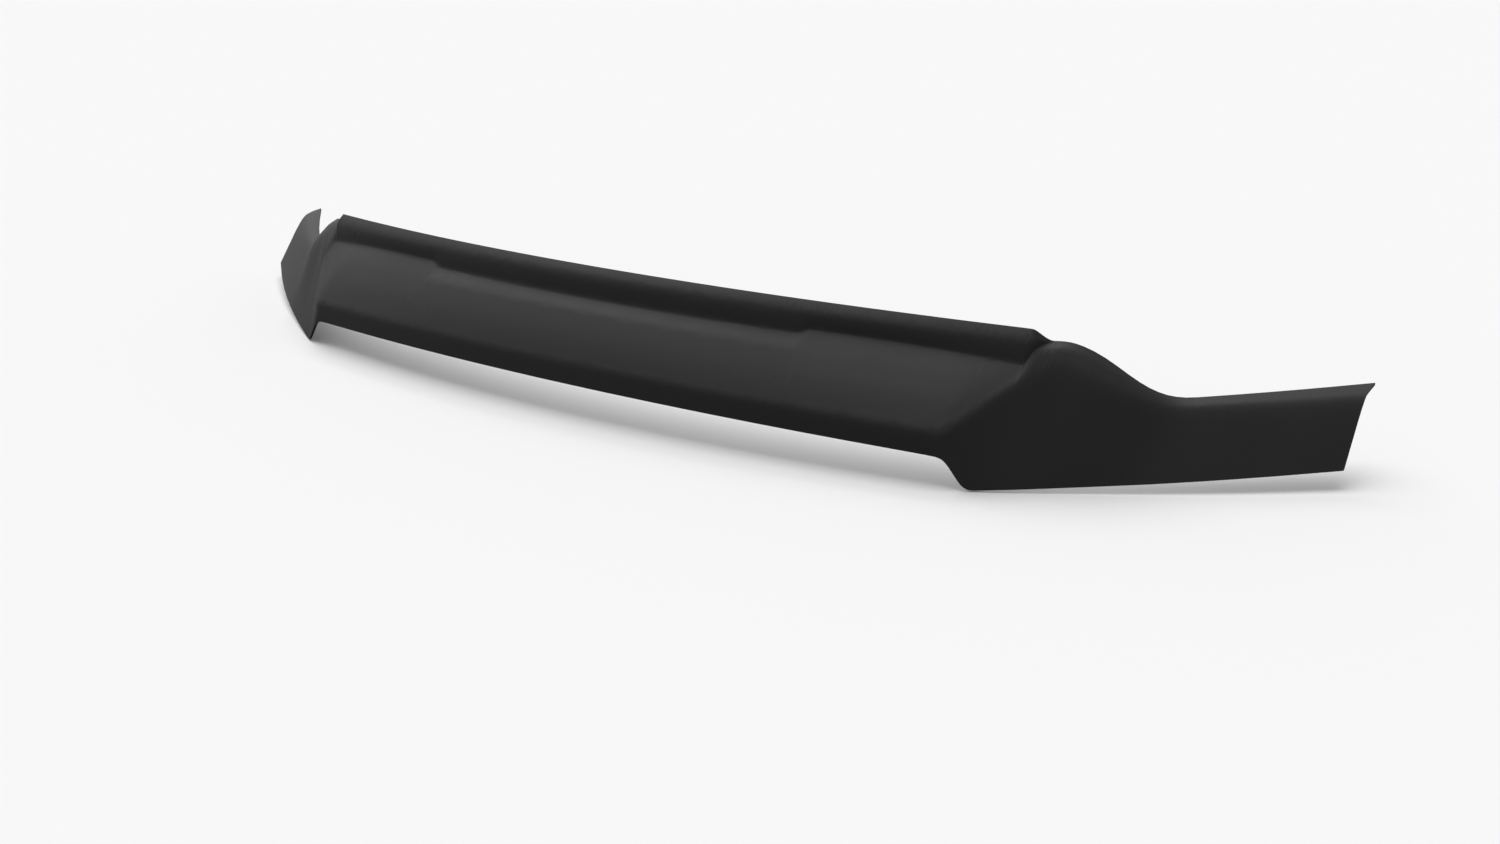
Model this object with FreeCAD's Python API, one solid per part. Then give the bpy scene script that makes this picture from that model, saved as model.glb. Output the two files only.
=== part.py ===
import FreeCAD, Part
import os
from math import cos, hypot, radians, sin, sqrt, tan

Vector = FreeCAD.Vector

# A stick-on hood shield: one thermoformed sheet and the foam tape strips on its back.
# X runs across the shield, -Y is forwards and +Z is up. Every rail below is worked out
# with the foremost line at y = 0 and the lower edge at z = 0 on the symmetry plane, and
# the finished pieces are then placed so that the upper centre bond is the origin.

SIZES = [
    ("corner_half", 486, "symmetry plane to the step in the lower edge"),
    ("wing_length", 333, "that step to the end edge of a wing, straight across"),
    ("wall", 3, "sheet thickness"),
    ("front_radius", 2500, "plan radius of the front between the corners"),
    ("crown_radius", 15000, "radius by which the front drops towards the corners"),
    ("band_height", 24, "upright band, lower edge to nose line"),
    ("band_tuck", 3, "lower edge of the band behind the nose line"),
    ("face_run", 66, "nose line to crease, towards the rear"),
    ("face_rise", 71, "nose line to crease, upwards"),
    ("face_crown", 4, "outward crown of the leaning face"),
    ("crease_radius", 1936, "plan radius of the crease and the lip"),
    ("crease_drop_radius", 16130, "radius by which crease and lip drop outwards"),
    ("lip_run", 13, "crease to lip edge, towards the rear"),
    ("lip_rise", 28.5, "crease to lip edge, upwards"),
    ("lip_upright", 17, "upright part of the lip above the crease, before it rolls back"),
    ("lip_overrun", 34, "start of the lip's end beyond the corner"),
    ("lip_run_out", 18, "length over which the lip sinks into the shoulder"),
    ("lip_slant", 1, "top of the lip's end further out than its foot"),
    ("lip_round", 20, "length over which the lip's top edge rounds down at its end"),
    ("lip_flare", 8, "crease lower on the face at the end of the lip"),
    ("flare_length", 190, "length over which the crease falls to that"),
    ("ledge_half", 271, "symmetry plane to the end of the sunken centre ledge"),
    ("ledge_ramp", 14, "length of the ramp at each end of the ledge"),
    ("ledge_drop", 6.5, "crease lower in the ledge, along the lip"),
    ("ledge_width", 26, "front edge of the ledge to the crease, down the face"),
    ("corner_step", 34, "length of the step in the lower edge"),
    ("corner_drop", 32, "fall of the lower edge at the step"),
    ("wing_offset", 9, "start of the wing's plan curve beyond the corner"),
    ("wing_sweep", 29.5, "plan angle of the wing at its start, degrees"),
    ("wing_radius", 2050, "plan radius of the wing"),
    ("wing_climb", 0.064, "rise of the wing's lower edge for each mm outwards"),
    ("wing_lean", 31, "lean of the wing's face from upright, degrees"),
    ("ridge_inset", 14, "start of the climbing ridge inside the corner"),
    ("ridge_slope", 0.98, "climb of the ridge for each mm outwards"),
    ("ridge_length", 50, "length over which the nose line softens into the ridge"),
    ("shoulder_height", 102.2, "free edge of the shoulder beside the lip"),
    ("shoulder_offset", 26, "start of the shoulder's fall beyond the lip"),
    ("shoulder_length", 118, "length of that fall"),
    ("shoulder_sweep", 0.5, "rearward run of the shoulder's edge for each mm outwards"),
    ("shoulder_gap", 3, "shoulder edge behind the lip's edge"),
    ("shoulder_drop", 19, "roll of the shoulder below its free edge"),
    ("edge_blend", 80, "length over which shoulder edge becomes wing edge"),
    ("wing_height", 44.6, "free upper edge of the wing at the shoulder"),
    ("wing_edge_climb", 0.048, "rise of that edge for each mm outwards"),
    ("wing_depth", 46, "lower edge to upper edge across the wing, at its start"),
    ("wing_depth_end", 69, "the same at the end edge"),
    ("wing_drop", 6, "roll of the wing below its free edge"),
    ("roll_crown", 0.2, "bulge of the roll above its chord, for each mm of its drop"),
    ("ridge_blend", 30, "softness where the ridge meets the roll"),
    ("nose_reach", 11, "rounding reach of the nose line"),
    ("roll_reach", 32, "rounding reach of the ridge and the roll"),
    ("roll_reach_end", 54, "the same at the end edge of the wing"),
    ("crest_reach", 12, "rounding reach of the roll where it levels off"),
    ("face_reach", 24, "rounding reach of the face's crown"),
    ("ledge_reach", 5, "rounding reach of the ledge's front edge"),
    ("crease_reach", 4, "rounding reach of the crease"),
    ("lip_reach", 16, "rounding reach of the lip's roll"),
    ("tape_width", 12.7, "width of the foam tape"),
    ("tape_thickness", 1.1, "thickness of the foam tape"),
    ("glue_line", 0.15, "sheet to foam, filled by the tape's adhesive"),
    ("tape_margin", 3, "bare sheet between an edge and the tape"),
    ("tape_end_margin", 18, "bare sheet beyond a strip's ends"),
]

# Spacing of the section stations across the width: widest, closest and how fast it opens up.
STATION_PITCH, STATION_FINE, STATION_GROWTH = 60.0, 5.0, 0.3


def make_sheet(doc):
    """Spreadsheet with one aliased row for each driving dimension."""
    sheet = doc.addObject("Spreadsheet::Sheet", "Sizes")
    for row, (name, value, note) in enumerate(SIZES, start=1):
        sheet.set(f"A{row}", name)
        sheet.set(f"B{row}", str(value))
        sheet.set(f"C{row}", note)
        sheet.setAlias(f"B{row}", name)
    doc.recompute()
    return sheet


def ease(x, start, end):
    """0 before start, 1 after end, with a smooth rise between."""
    share = min(max((x - start) / (end - start), 0.0), 1.0)
    return share * share * (3.0 - 2.0 * share)


def ease_out(x, start, end):
    """0 before start, 1 after end, with a kink at the start and a soft arrival."""
    share = min(max((x - start) / (end - start), 0.0), 1.0)
    return share * (2.0 - share)


def mix(first, second, share):
    return first + (second - first) * share


def mix_point(first, second, share):
    return mix(first[0], second[0], share), mix(first[1], second[1], share)


def soft_min(first, second, width):
    """The lower of two values, rounded over where they cross."""
    overlap = max(width - abs(first - second), 0.0) / width
    return min(first, second) - overlap * overlap * width / 4.0


class Profile:
    """Rails of the sheet's outer face: each gives (y, z) at a distance x from the middle."""

    def __init__(self, sheet):
        for name, _value, _note in SIZES:
            setattr(self, name, float(getattr(sheet, name)))
        self.half_width = self.corner_half + self.wing_length
        self.wing_start = self.corner_half + self.wing_offset
        self.ridge_start = self.corner_half - self.ridge_inset
        self.ridge_end = self.ridge_start + self.ridge_length
        self.lip_half = self.corner_half + self.lip_overrun
        self.lip_foot_end = self.lip_half + self.lip_run_out
        self.lip_edge_end = self.lip_foot_end + self.lip_slant
        self.shoulder_start = self.lip_half + self.shoulder_offset
        self.shoulder_end = self.shoulder_start + self.shoulder_length
        start_angle = radians(self.wing_sweep)
        self.wing_centre_x = self.wing_start - self.wing_radius * sin(start_angle)
        self.wing_centre_y = self.front_line(self.wing_start) + self.wing_radius * cos(start_angle)

    def front_line(self, x):
        return x * x / (2.0 * self.front_radius)

    def crown(self, x):
        return x * x / (2.0 * self.crown_radius)

    def wing_chord(self, x):
        return sqrt(self.wing_radius ** 2 - (x - self.wing_centre_x) ** 2)

    def plan_line(self, x):
        """Plan line of the lower edge: a shallow arc, then the swept arc of the wing."""
        if x <= self.wing_start:
            return self.front_line(x)
        return self.wing_centre_y - self.wing_chord(x)

    def stretch(self, x):
        """Length along the plan line for each mm of x."""
        if x <= self.wing_start:
            return hypot(1.0, x / self.front_radius)
        return hypot(1.0, (x - self.wing_centre_x) / self.wing_chord(x))

    def lower_edge(self, x):
        half_step = 0.5 * self.corner_step
        tuck = self.band_tuck * (1.0 - ease(x, self.corner_half - self.corner_step, self.corner_half))
        drop = self.corner_drop * ease(x, self.corner_half - half_step, self.corner_half + half_step)
        climb = self.wing_climb * max(x - self.wing_start, 0.0)
        return self.plan_line(x) + tuck, climb - drop - self.crown(min(x, self.corner_half))

    def free_edge_height(self, x):
        wing = self.wing_height + self.wing_edge_climb * max(x - self.shoulder_end, 0.0)
        return mix(self.shoulder_height, wing, ease(x, self.shoulder_start, self.shoulder_end))

    def crease_line(self, x):
        """The crease where no ledge lowers it."""
        y = self.face_run + x * x / (2.0 * self.crease_radius)
        z = self.band_height + self.face_rise - x * x / (2.0 * self.crease_drop_radius)
        return y, z

    def face_point(self, x, share, bulge):
        """Point of the leaning face: share 0 at the nose line, 1 at the crease."""
        low = (self.front_line(x), self.band_height - self.crown(x))
        high = self.crease_line(x)
        run, rise = high[0] - low[0], high[1] - low[1]
        slant = hypot(run, rise)
        y, z = mix_point(low, high, share)
        out = 4.0 * share * (1.0 - share) * bulge / slant
        return y - out * rise, z + out * run

    def ledge_share(self, x):
        """1 inside the sunken centre ledge, 0 outside it."""
        return 1.0 - ease(x, self.ledge_half, self.ledge_half + self.ledge_ramp)

    def crease(self, x):
        """The crease as built: lower in the ledge, and flaring down the face at the lip's end."""
        y, z = self.crease_line(x)
        drop = self.ledge_drop * self.ledge_share(x)
        slant = hypot(self.lip_run, self.lip_rise)
        flare_start = self.lip_half - self.flare_length
        flare = self.lip_flare * min(max((x - flare_start) / self.flare_length, 0.0), 1.0) ** 2
        face = hypot(self.face_run, self.face_rise)
        y -= drop * self.lip_run / slant + flare * self.face_run / face
        z -= drop * self.lip_rise / slant + flare * self.face_rise / face
        return y, z

    def lip_edge(self, x):
        y, z = self.crease_line(x)
        return y + self.lip_run, z + self.lip_rise

    def free_edge(self, x):
        """Upper edge outside the lip: the shoulder's edge, then the wing's."""
        beside_lip = self.lip_edge(self.lip_half)[0] + self.shoulder_gap
        shoulder_y = beside_lip + self.shoulder_sweep * (x - self.lip_half)
        share = (x - self.wing_start) / (self.half_width - self.wing_start)
        depth = mix(self.wing_depth, self.wing_depth_end, share)
        wing_y = self.plan_line(x) + depth * self.stretch(x)
        blend = ease(x, self.shoulder_end - self.edge_blend, self.shoulder_end)
        return mix(shoulder_y, wing_y, blend), self.free_edge_height(x)

    def nose(self, x):
        """Nose line, then the ridge up the end of the leaning face, then the roll of the wing."""
        low = self.band_height - self.crown(x)
        fall = ease(x, self.shoulder_start, self.shoulder_end)
        roll = self.free_edge_height(x) - mix(self.shoulder_drop, self.wing_drop, fall)
        ridge = low + self.ridge_slope * max(x - self.ridge_start, 0.0)
        height = soft_min(ridge, roll, self.ridge_blend)
        share = (height - low) / (self.crease_line(x)[1] - low)
        on_face = mix(self.front_line(x), self.crease_line(x)[0], share)
        climb = height - self.lower_edge(x)[1]
        on_wing = self.plan_line(x) + climb * tan(radians(self.wing_lean)) * self.stretch(x)
        return mix(on_face, on_wing, ease(x, self.lip_foot_end, self.shoulder_end)), height

    def corners(self, x):
        """Corners of the section: lower edge, nose, face, ledge, crease, lip roll, upper edge."""
        nose, crease, edge = self.nose(x), self.crease(x), self.lip_edge(x)
        ledge_at = 1.0 - self.ledge_width / hypot(self.face_run, self.face_rise)
        face = self.face_point(x, 0.5 * ledge_at, self.face_crown)
        ledge = self.face_point(x, ledge_at, self.face_crown)
        ridge = ease(x, self.ridge_start - self.ridge_inset, self.ridge_end)
        face = mix_point(face, mix_point(nose, crease, 0.7), ridge)
        ledge = mix_point(ledge, mix_point(nose, crease, 0.85), ridge)
        foot_y, foot_z = self.crease_line(x)
        roll = (foot_y, foot_z + self.lip_upright)

        free = self.free_edge(x)
        crest = mix_point(nose, free, 0.6)
        crest = (crest[0], crest[1] + self.roll_crown * (free[1] - nose[1]))
        sunk = ease(x, self.lip_edge_end - self.lip_round, self.lip_edge_end)
        edge = mix_point(edge, free, sunk)
        roll = mix_point(roll, mix_point(crest, edge, 0.85), sunk)
        sunk = ease_out(x, self.lip_half, self.lip_foot_end)
        face = mix_point(face, crest, sunk)
        ledge = mix_point(ledge, mix_point(crest, edge, 0.55), sunk)
        crease = mix_point(crease, mix_point(crest, edge, 0.7), sunk)
        return [self.lower_edge(x), nose, face, ledge, crease, roll, edge]

    def reaches(self, x):
        """Rounding reach of each inner corner of the section, before and after it."""
        ridge = ease(x, self.ridge_start - self.ridge_inset, self.ridge_end)
        out = min(max((x - self.shoulder_end) / (self.half_width - self.shoulder_end), 0.0), 1.0)
        nose = mix(self.nose_reach, mix(self.roll_reach, self.roll_reach_end, out), ridge)
        face = mix(self.face_reach, self.crest_reach, ridge)
        ledge = mix(self.face_reach, self.ledge_reach, max(self.ledge_share(x), ridge))
        return [(reach, reach) for reach in (nose, face, ledge, self.crease_reach, self.lip_reach)]

    def poles(self, x):
        """Section poles: three at each rounded corner and one halfway along each leg."""
        corners, reaches = self.corners(x), self.reaches(x)
        legs = [hypot(b[0] - a[0], b[1] - a[1]) for a, b in zip(corners, corners[1:])]
        row = [corners[0]]
        for i, corner in enumerate(corners[1:-1]):
            before = min(reaches[i][0] / legs[i], self.leg_share(reaches, i, 0))
            after = min(reaches[i][1] / legs[i + 1], self.leg_share(reaches, i + 1, 1))
            start = mix_point(corner, corners[i], before)
            end = mix_point(corner, corners[i + 2], after)
            row += [mix_point(row[-1], start, 0.5), start, corner, end]
        return row + [mix_point(row[-1], corners[-1], 0.5), corners[-1]]

    @staticmethod
    def leg_share(reaches, leg, side):
        """Most of a leg that a rounding may take, shared with the rounding at its other end."""
        near = reaches[leg][0] if leg < len(reaches) else 0.0
        far = reaches[leg - 1][1] if leg > 0 else 0.0
        own = far if side else near
        return 0.84 * own / (near + far)

    def stations(self):
        """Distances from the middle, close together where the section changes fast."""
        lively = [
            (self.ledge_half, self.ledge_half + self.ledge_ramp, 1.0),
            (self.ridge_start, self.lip_half, 1.2),
            (self.lip_half, self.lip_edge_end, 0.45),
            (self.shoulder_start, self.shoulder_end, 2.6),
        ]
        x, found = 0.0, []
        while x < self.half_width - STATION_FINE:
            found.append(x)
            gaps = [
                scale * STATION_FINE + STATION_GROWTH * max(start - x, x - end, 0.0)
                for start, end, scale in lively
            ]
            x += min(gaps + [STATION_PITCH])
        return found + [self.half_width]


# Rows of poles along which the strips of tape are laid.
POLE_LOWER, POLE_LEDGE_START, POLE_UPPER = 0, 10, 22


def clamped_knots(count, degree=3):
    """Knots and multiplicities of a clamped, evenly spaced spline with count poles."""
    spans = count - degree
    return [float(k) for k in range(spans + 1)], [degree + 1] + [1] * (spans - 1) + [degree + 1]


def spline_surface(rows):
    u_knots, u_mults = clamped_knots(len(rows))
    v_knots, v_mults = clamped_knots(len(rows[0]))
    surface = Part.BSplineSurface()
    surface.buildFromPolesMultsKnots(rows, u_mults, v_mults, u_knots, v_knots, False, False, 3, 3)
    return surface


def pole_parameters(knots, mults, degree):
    """Parameter that each pole of a spline pulls on most."""
    flat = [knot for knot, times in zip(knots, mults) for _ in range(times)]
    return [sum(flat[i + 1:i + degree + 1]) / degree for i in range(len(flat) - degree - 1)]


def surface_normal(surface, u, v):
    """Unit normal that points off the outer face."""
    along_u = surface.getDN(u, v, 1, 0)
    along_v = surface.getDN(u, v, 0, 1)
    return along_u.cross(along_v).normalize()


def offset_surface(surface, distance):
    """The same spline moved off along its own normals."""
    u_at = pole_parameters(surface.getUKnots(), surface.getUMultiplicities(), surface.UDegree)
    v_at = pole_parameters(surface.getVKnots(), surface.getVMultiplicities(), surface.VDegree)
    moved = surface.copy()
    for i, u in enumerate(u_at, start=1):
        for j, v in enumerate(v_at, start=1):
            pole = surface.getPole(i, j) + surface_normal(surface, u, v) * distance
            moved.setPole(i, j, pole)
    return moved


def wall_between(front, back):
    """Closed solid between two surfaces that share their parameter range."""
    u0, u1, v0, v1 = front.bounds()
    sides = []
    for iso in [("uIso", u0), ("uIso", u1), ("vIso", v0), ("vIso", v1)]:
        near = getattr(front, iso[0])(iso[1]).toShape()
        far = getattr(back, iso[0])(iso[1]).toShape()
        sides.append(Part.makeRuledSurface(near, far))
    faces = [front.toShape(), back.toShape()] + sides
    shell = Part.makeCompound(faces)
    shell.sewShape(0.01)
    solid = Part.makeSolid(shell.Shells[0])
    if solid.Volume < 0.0:
        solid.reverse()
    return solid


def outer_surface(profile):
    half = [[Vector(x, y, z) for y, z in profile.poles(x)] for x in profile.stations()]
    mirrored = [[Vector(-p.x, p.y, p.z) for p in row] for row in reversed(half[1:])]
    return spline_surface(mirrored + half)


def u_for_x(surface, x, v):
    """Parameter across the width at which the surface reaches x."""
    low, high = surface.bounds()[:2]
    for _ in range(60):
        middle = 0.5 * (low + high)
        if surface.value(middle, v).x < x:
            low = middle
        else:
            high = middle
    return 0.5 * (low + high)


def v_along(surface, u, v_start, distance):
    """Parameter reached by walking a distance up (or down) the section from v_start."""
    step = 0.02 if distance > 0.0 else -0.02
    v, left = v_start, abs(distance)
    here = surface.value(u, v)
    v_low, v_high = surface.bounds()[2:]
    while v_low <= v + step <= v_high:
        there = surface.value(u, v + step)
        stride = here.distanceToPoint(there)
        if stride >= left:
            return v + step * left / stride
        v, left, here = v + step, left - stride, there
    return v


def tape_strip(profile, inner, x_start, x_end, pole_from, offset):
    """Strip of tape behind the sheet, its near edge an offset from a row of poles."""
    v_from = pole_parameters(inner.getVKnots(), inner.getVMultiplicities(), inner.VDegree)[pole_from]
    u_mid = u_for_x(inner, 0.5 * (x_start + x_end), v_from)
    width = profile.tape_width if offset > 0.0 else -profile.tape_width
    near = v_along(inner, u_mid, v_from, offset)
    far = v_along(inner, u_mid, v_from, offset + width)
    patch = (u_for_x(inner, x_start, near), u_for_x(inner, x_end, near), min(near, far), max(near, far))
    front = offset_surface(inner, -profile.glue_line)
    bond = offset_surface(inner, -profile.glue_line - profile.tape_thickness)
    front.segment(*patch)
    bond.segment(*patch)
    return bond, wall_between(front, bond)


def add_piece(doc, name, shape, placement):
    piece = doc.addObject("Part::Feature", name)
    piece.Shape = shape
    piece.Placement = placement
    piece.Label = name
    return piece


def add_mirror(doc, name, source):
    """Left strip as the mirror image of the right one."""
    piece = doc.addObject("Part::Mirroring", name)
    piece.Source = source
    piece.Base = Vector(0, 0, 0)
    piece.Normal = Vector(1, 0, 0)
    piece.Label = name
    return piece


def strip_places(profile):
    """Strip name: start and end across the width, row of poles and offset from it."""
    margin, end_margin = profile.tape_margin, profile.tape_end_margin
    ledge_end = profile.ledge_half - end_margin
    ledge_outside = profile.ledge_half + profile.ledge_ramp + end_margin
    corner_inside = profile.corner_half - profile.corner_step - end_margin
    corner_outside = profile.corner_half + profile.corner_step + end_margin
    flange_start = profile.shoulder_end + end_margin
    wing_end = profile.half_width - end_margin
    return {
        "tape_upper_centre": (-ledge_end, ledge_end, POLE_LEDGE_START, -margin),
        "tape_upper_right": (ledge_outside, profile.ridge_start, POLE_LEDGE_START, -margin),
        "tape_wing_upper_right": (flange_start, wing_end, POLE_UPPER, -margin),
        "tape_lower_centre": (-corner_inside, corner_inside, POLE_LOWER, margin),
        "tape_wing_lower_right": (corner_outside, wing_end, POLE_LOWER, margin),
    }


def main():
    doc = FreeCAD.newDocument("hood_shield")
    sheet = make_sheet(doc)
    profile = Profile(sheet)

    outer = outer_surface(profile)
    inner = offset_surface(outer, -profile.wall)
    strips = {name: tape_strip(profile, inner, *place) for name, place in strip_places(profile).items()}

    bond = strips["tape_upper_centre"][0]
    u0, u1, v0, v1 = bond.bounds()
    origin = bond.value(0.5 * (u0 + u1), 0.5 * (v0 + v1))
    placement = FreeCAD.Placement(Vector(0, -origin.y, -origin.z), FreeCAD.Rotation())

    pieces = [add_piece(doc, "shield", wall_between(outer, inner), placement)]
    for name, (_bond, shape) in strips.items():
        right = add_piece(doc, name, shape, placement)
        pieces.append(right)
        if name.endswith("_right"):
            pieces.append(add_mirror(doc, name.replace("_right", "_left"), right))
    doc.recompute()

    for obj in doc.Objects:
        if "Invalid" in obj.State or "Error" in obj.State:
            raise RuntimeError(f"{obj.Label} could not be built")
    for piece in pieces:
        if piece.Shape.isNull() or not piece.Shape.isValid() or len(piece.Shape.Solids) != 1:
            raise RuntimeError(f"{piece.Label} is not one sound solid")

    os.makedirs("parts", exist_ok=True)
    for piece in pieces:
        piece.Shape.exportStep(f"parts/{piece.Label}.step")
        box = piece.Shape.BoundBox
        size = f"{box.XLength:.1f} x {box.YLength:.1f} x {box.ZLength:.1f} mm"
        print(f"{piece.Label}: {piece.Shape.Volume:.0f} mm3, {size}")


main()
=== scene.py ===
from math import radians

import bpy
from bpy.props import FloatProperty, FloatVectorProperty, PointerProperty
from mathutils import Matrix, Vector


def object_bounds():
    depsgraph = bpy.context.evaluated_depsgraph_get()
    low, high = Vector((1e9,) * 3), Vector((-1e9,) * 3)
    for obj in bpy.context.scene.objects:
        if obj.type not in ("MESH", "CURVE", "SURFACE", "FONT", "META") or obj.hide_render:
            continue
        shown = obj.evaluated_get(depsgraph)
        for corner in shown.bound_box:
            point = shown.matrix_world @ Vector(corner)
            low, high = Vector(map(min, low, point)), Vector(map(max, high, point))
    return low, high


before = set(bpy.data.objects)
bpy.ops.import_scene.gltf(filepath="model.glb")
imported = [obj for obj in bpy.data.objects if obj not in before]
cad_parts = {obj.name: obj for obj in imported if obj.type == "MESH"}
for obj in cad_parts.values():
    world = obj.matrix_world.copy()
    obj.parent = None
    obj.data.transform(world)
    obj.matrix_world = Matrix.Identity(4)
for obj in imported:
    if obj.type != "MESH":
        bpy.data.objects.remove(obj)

bl_info = {
    "name": "Hood Shield Dresser",
    "version": (1, 0, 0),
    "blender": (4, 5, 0),
    "location": "View3D > Sidebar > Hood Shield",
    "description": "Gives a stick-on hood shield its grained sheet, foam tape and studio",
    "category": "Object",
}

CAD_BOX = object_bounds()
TAPES = sorted(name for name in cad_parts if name.startswith("tape_"))

# Share by which colour and roughness drift over a surface, and its plain reflection.
SHEET_COLOUR_SPREAD, SHEET_SPECULAR = 0.08, 0.3
TAPE_COLOUR_SPREAD, TAPE_SPECULAR = 0.18, 0.35
ROUGHNESS_SPREAD = 0.06
# The drift noise: waves in a metre, and the part of its range that is spread over the surface.
DRIFT_SCALE, DRIFT_LOW, DRIFT_HIGH = 7.0, 0.3, 0.7

# Where the two broad lights come from, and their apparent width in degrees.
KEY_TOWARDS, KEY_SPREAD = (-0.35, 0.2, 0.9), 65.0
SIDE_TOWARDS, SIDE_SPREAD = (-0.93, 0.3, 0.2), 50.0
# Half the floor's width and its gap under the part, in metres.
FLOOR_HALF, FLOOR_GAP = 60.0, 0.0005
SENSOR_WIDTH = 36.0


class SheetFinish(bpy.types.PropertyGroup):
    """Moulded, grained plastic sheet."""

    colour: FloatVectorProperty(
        name="Colour", description="Colour of the moulded sheet", subtype="COLOR",
        size=3, min=0.0, max=1.0, default=(0.022, 0.0215, 0.0225),
    )
    roughness: FloatProperty(
        name="Roughness", description="How dull the moulded skin is", subtype="FACTOR",
        min=0.0, max=1.0, default=0.55,
    )
    grain_size: FloatProperty(
        name="Grain Size", description="Width of one pebble of the moulded grain",
        subtype="DISTANCE", unit="LENGTH", min=0.0001, default=0.0011,
    )
    grain_depth: FloatProperty(
        name="Grain Depth", description="Depth of the moulded grain",
        subtype="DISTANCE", unit="LENGTH", min=0.0, default=0.00004,
    )


class TapeFinish(bpy.types.PropertyGroup):
    """Acrylic foam tape with its liner peeled off."""

    colour: FloatVectorProperty(
        name="Colour", description="Colour of the foam", subtype="COLOR",
        size=3, min=0.0, max=1.0, default=(0.085, 0.085, 0.090),
    )
    roughness: FloatProperty(
        name="Roughness", description="How dull the foam is", subtype="FACTOR",
        min=0.0, max=1.0, default=0.62,
    )
    cell_size: FloatProperty(
        name="Cell Size", description="Width of one foam cell",
        subtype="DISTANCE", unit="LENGTH", min=0.0001, default=0.0006,
    )
    cell_depth: FloatProperty(
        name="Cell Depth", description="Depth of the open cells",
        subtype="DISTANCE", unit="LENGTH", min=0.0, default=0.00006,
    )


class StudioSettings(bpy.types.PropertyGroup):
    """Floor, lamps and camera."""

    floor_colour: FloatVectorProperty(
        name="Floor Colour", description="Colour of the floor and backdrop", subtype="COLOR",
        size=3, min=0.0, max=1.0, default=(0.90, 0.90, 0.90),
    )
    bounce: FloatProperty(
        name="Floor Bounce", description="How much of its light the floor throws back on the part",
        subtype="FACTOR", min=0.0, max=1.0, default=0.35,
    )
    sky_strength: FloatProperty(
        name="Sky", description="Strength of the even light from all round",
        min=0.0, default=0.29,
    )
    key_strength: FloatProperty(
        name="Key", description="Strength of the broad light from the upper left, in W/m2",
        min=0.0, default=2.5,
    )
    side_strength: FloatProperty(
        name="Side", description="Strength of the broad light from the left, in W/m2",
        min=0.0, default=0.4,
    )
    camera_place: FloatVectorProperty(
        name="Camera Place", description="Where the camera stands", subtype="TRANSLATION",
        unit="LENGTH", size=3, default=(1.1798, -1.3910, 0.5038),
    )
    camera_turn: FloatProperty(
        name="Camera Turn", description="Turn of the camera about the upright axis",
        subtype="ANGLE", unit="ROTATION", default=radians(34.178),
    )
    camera_dip: FloatProperty(
        name="Camera Dip", description="How far the camera looks down",
        subtype="ANGLE", unit="ROTATION", default=radians(19.145),
    )
    camera_lens: FloatProperty(
        name="Lens", description="Focal length on a 36 mm sensor, in millimetres",
        min=1.0, default=38.4,
    )


def add_node(tree, kind, **values):
    """New node of a kind, with its settings and its inputs' values."""
    node = tree.nodes.new(kind)
    for name, value in values.items():
        if name in node.inputs:
            node.inputs[name].default_value = value
        else:
            setattr(node, name, value)
    return node


def texture_group():
    """Shader group: fine moulded pebbles or cells, with slow variation over the surface."""
    group = bpy.data.node_groups.get("moulded_texture")
    if group:
        return group
    group = bpy.data.node_groups.new("moulded_texture", "ShaderNodeTree")
    face = group.interface
    for name in ("Cell Size", "Colour Spread", "Roughness Spread", "Roughness"):
        face.new_socket(name, in_out="INPUT", socket_type="NodeSocketFloat")
    face.new_socket("Colour", in_out="INPUT", socket_type="NodeSocketColor")
    face.new_socket("Colour", in_out="OUTPUT", socket_type="NodeSocketColor")
    face.new_socket("Roughness", in_out="OUTPUT", socket_type="NodeSocketFloat")
    face.new_socket("Height", in_out="OUTPUT", socket_type="NodeSocketFloat")
    links = group.links
    entry = group.nodes.new("NodeGroupInput")
    leave = group.nodes.new("NodeGroupOutput")
    place = group.nodes.new("ShaderNodeTexCoord")

    density = add_node(group, "ShaderNodeMath", operation="DIVIDE")
    density.inputs[0].default_value = 1.0
    links.new(entry.outputs["Cell Size"], density.inputs[1])
    cells = add_node(group, "ShaderNodeTexVoronoi", feature="SMOOTH_F1", Smoothness=0.6)
    links.new(place.outputs["Object"], cells.inputs["Vector"])
    links.new(density.outputs[0], cells.inputs["Scale"])
    links.new(cells.outputs["Distance"], leave.inputs["Height"])

    drift = add_node(group, "ShaderNodeTexNoise", Scale=DRIFT_SCALE, Detail=4.0, Roughness=0.55)
    links.new(place.outputs["Object"], drift.inputs["Vector"])
    for target in ("Colour", "Roughness"):
        spread = f"{target} Spread"
        drifted = add_node(group, "ShaderNodeMapRange")
        less = add_node(group, "ShaderNodeMath", operation="SUBTRACT")
        more = add_node(group, "ShaderNodeMath", operation="ADD")
        less.inputs[0].default_value = more.inputs[0].default_value = 1.0
        links.new(entry.outputs[spread], less.inputs[1])
        links.new(entry.outputs[spread], more.inputs[1])
        links.new(drift.outputs["Fac"], drifted.inputs["Value"])
        drifted.inputs["From Min"].default_value = DRIFT_LOW
        drifted.inputs["From Max"].default_value = DRIFT_HIGH
        links.new(less.outputs[0], drifted.inputs["To Min"])
        links.new(more.outputs[0], drifted.inputs["To Max"])
        if target == "Roughness":
            scaled = add_node(group, "ShaderNodeMath", operation="MULTIPLY")
            links.new(entry.outputs[target], scaled.inputs[0])
            links.new(drifted.outputs[0], scaled.inputs[1])
            links.new(scaled.outputs[0], leave.inputs[target])
        else:
            tinted = add_node(group, "ShaderNodeVectorMath", operation="SCALE")
            links.new(entry.outputs[target], tinted.inputs[0])
            links.new(drifted.outputs[0], tinted.inputs["Scale"])
            links.new(tinted.outputs[0], leave.inputs[target])
    return group


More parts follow.
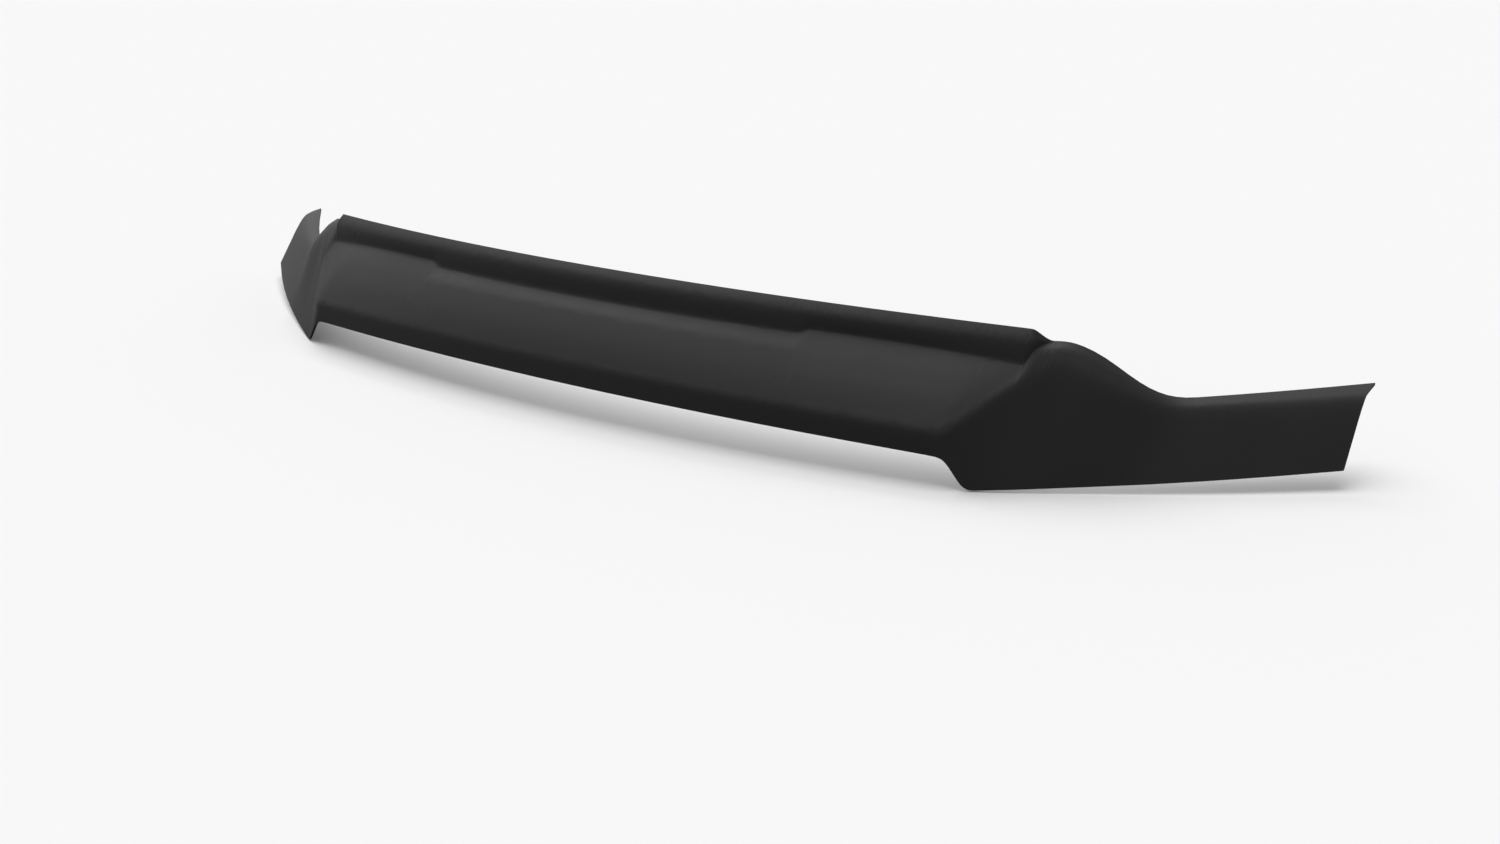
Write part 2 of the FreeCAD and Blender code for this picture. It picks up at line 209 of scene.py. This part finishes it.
def textured_material(name, colour, roughness, cell_size, depth, colour_spread, specular):
    """Material with the moulded texture; the shader itself stays outside the group."""
    material = bpy.data.materials.new(name)
    material.use_nodes = True
    tree = material.node_tree
    shader = tree.nodes["Principled BSDF"]
    shader.inputs["Specular IOR Level"].default_value = specular
    texture = add_node(tree, "ShaderNodeGroup", node_tree=texture_group())
    texture.inputs["Colour"].default_value = (*colour, 1.0)
    texture.inputs["Roughness"].default_value = roughness
    texture.inputs["Cell Size"].default_value = cell_size
    texture.inputs["Colour Spread"].default_value = colour_spread
    texture.inputs["Roughness Spread"].default_value = ROUGHNESS_SPREAD
    bump = add_node(tree, "ShaderNodeBump", Distance=depth, Strength=1.0)
    tree.links.new(texture.outputs["Height"], bump.inputs["Height"])
    tree.links.new(texture.outputs["Colour"], shader.inputs["Base Color"])
    tree.links.new(texture.outputs["Roughness"], shader.inputs["Roughness"])
    tree.links.new(bump.outputs["Normal"], shader.inputs["Normal"])
    return material


def dress_node(name, material):
    """Puts a material on a carried-over CAD node."""
    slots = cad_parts[name].data.materials
    slots.clear()
    slots.append(material)


class SHIELD_OT_dress_sheet(bpy.types.Operator):
    """Give the moulded sheet its grained skin"""

    bl_idname = "hood_shield.dress_sheet"
    bl_label = "Dress Sheet"

    def execute(self, context):
        finish = context.scene.hood_sheet
        material = textured_material(
            "grained_sheet", finish.colour, finish.roughness, finish.grain_size, finish.grain_depth,
            SHEET_COLOUR_SPREAD, SHEET_SPECULAR,
        )
        dress_node("shield", material)
        return {"FINISHED"}


class SHIELD_OT_dress_tapes(bpy.types.Operator):
    """Give the tape strips their foam"""

    bl_idname = "hood_shield.dress_tapes"
    bl_label = "Dress Tapes"

    def execute(self, context):
        finish = context.scene.hood_tape
        material = textured_material(
            "acrylic_foam", finish.colour, finish.roughness, finish.cell_size, finish.cell_depth,
            TAPE_COLOUR_SPREAD, TAPE_SPECULAR,
        )
        for name in TAPES:
            dress_node(name, material)
        return {"FINISHED"}


def stage_plane(name, material, z, half):
    """Level square with one material, linked to the scene as its own object."""
    corners = [(-half, -half, z), (half, -half, z), (half, half, z), (-half, half, z)]
    mesh = bpy.data.meshes.new(name)
    mesh.from_pydata(corners, [], [(0, 1, 2, 3)])
    mesh.materials.append(material)
    floor = bpy.data.objects.new(name, mesh)
    bpy.context.scene.collection.objects.link(floor)


def add_broad_light(name, towards, strength, spread):
    """Very wide, even light that comes from a direction."""
    data = bpy.data.lights.new(name, "SUN")
    data.energy, data.angle = strength, radians(spread)
    lamp = bpy.data.objects.new(name, data)
    lamp.rotation_euler = Vector(towards).to_track_quat("Z", "Y").to_euler()
    bpy.context.scene.collection.objects.link(lamp)


def floor_material(colour, bounce):
    """Matte floor that shows its own pale colour to the camera and throws back less light."""
    material = bpy.data.materials.new("pale_floor")
    material.use_nodes = True
    tree = material.node_tree
    tree.nodes.clear()
    output = tree.nodes.new("ShaderNodeOutputMaterial")
    mix = tree.nodes.new("ShaderNodeMixShader")
    path = tree.nodes.new("ShaderNodeLightPath")
    for slot, share in ((1, bounce), (2, 1.0)):
        shade = (*(share * channel for channel in colour), 1.0)
        matte = add_node(tree, "ShaderNodeBsdfDiffuse", Color=shade)
        tree.links.new(matte.outputs[0], mix.inputs[slot])
    tree.links.new(path.outputs["Is Camera Ray"], mix.inputs[0])
    tree.links.new(mix.outputs[0], output.inputs["Surface"])
    return material


def set_world(scene, shown, cast):
    """World that is white to the camera and softer as a light."""
    world = bpy.data.worlds.new("studio_white")
    world.use_nodes = True
    tree = world.node_tree
    tree.nodes.clear()
    output = tree.nodes.new("ShaderNodeOutputWorld")
    mix = tree.nodes.new("ShaderNodeMixShader")
    path = tree.nodes.new("ShaderNodeLightPath")
    for slot, strength in ((1, cast), (2, shown)):
        light = add_node(tree, "ShaderNodeBackground", Color=(1.0, 1.0, 1.0, 1.0), Strength=strength)
        tree.links.new(light.outputs[0], mix.inputs[slot])
    tree.links.new(path.outputs["Is Camera Ray"], mix.inputs[0])
    tree.links.new(mix.outputs[0], output.inputs[0])
    scene.world = world


class SHIELD_OT_set_stage(bpy.types.Operator):
    """Set the floor, the lamps, the world and the camera"""

    bl_idname = "hood_shield.set_stage"
    bl_label = "Set Stage"

    def execute(self, context):
        scene, studio = context.scene, context.scene.hood_studio
        pale = floor_material(studio.floor_colour, studio.bounce)
        stage_plane("floor", pale, CAD_BOX[0].z - FLOOR_GAP, FLOOR_HALF)
        add_broad_light("light_key", KEY_TOWARDS, studio.key_strength, KEY_SPREAD)
        add_broad_light("light_side", SIDE_TOWARDS, studio.side_strength, SIDE_SPREAD)
        set_world(scene, 1.0, studio.sky_strength)

        data = bpy.data.cameras.new("camera")
        data.sensor_width, data.lens = SENSOR_WIDTH, studio.camera_lens
        camera = bpy.data.objects.new("camera", data)
        camera.location = studio.camera_place
        camera.rotation_euler = (radians(90.0) - studio.camera_dip, 0.0, studio.camera_turn)
        scene.collection.objects.link(camera)
        scene.camera = camera
        scene.view_settings.view_transform = "Standard"
        return {"FINISHED"}


class SHIELD_PT_panel(bpy.types.Panel):
    """Sizes, colours and steps of the hood shield"""

    bl_label = "Hood Shield"
    bl_idname = "SHIELD_PT_panel"
    bl_space_type = "VIEW_3D"
    bl_region_type = "UI"
    bl_category = "Hood Shield"

    def draw(self, context):
        for group, operator in STEPS:
            box = self.layout.box()
            settings = getattr(context.scene, group)
            for name in type(settings).__annotations__:
                box.prop(settings, name)
            box.operator(operator)


STEPS = (
    ("hood_sheet", SHIELD_OT_dress_sheet.bl_idname),
    ("hood_tape", SHIELD_OT_dress_tapes.bl_idname),
    ("hood_studio", SHIELD_OT_set_stage.bl_idname),
)
GROUPS = (("hood_sheet", SheetFinish), ("hood_tape", TapeFinish), ("hood_studio", StudioSettings))
CLASSES = (
    SheetFinish, TapeFinish, StudioSettings,
    SHIELD_OT_dress_sheet, SHIELD_OT_dress_tapes, SHIELD_OT_set_stage, SHIELD_PT_panel,
)


def register():
    for cls in CLASSES:
        bpy.utils.register_class(cls)
    for name, group in GROUPS:
        setattr(bpy.types.Scene, name, PointerProperty(type=group))


def unregister():
    for name, _group in GROUPS:
        delattr(bpy.types.Scene, name)
    for cls in reversed(CLASSES):
        bpy.utils.unregister_class(cls)


def main():
    register()
    bpy.ops.hood_shield.dress_sheet()
    bpy.ops.hood_shield.dress_tapes()
    bpy.ops.hood_shield.set_stage()


if __name__ == "__main__":
    main()
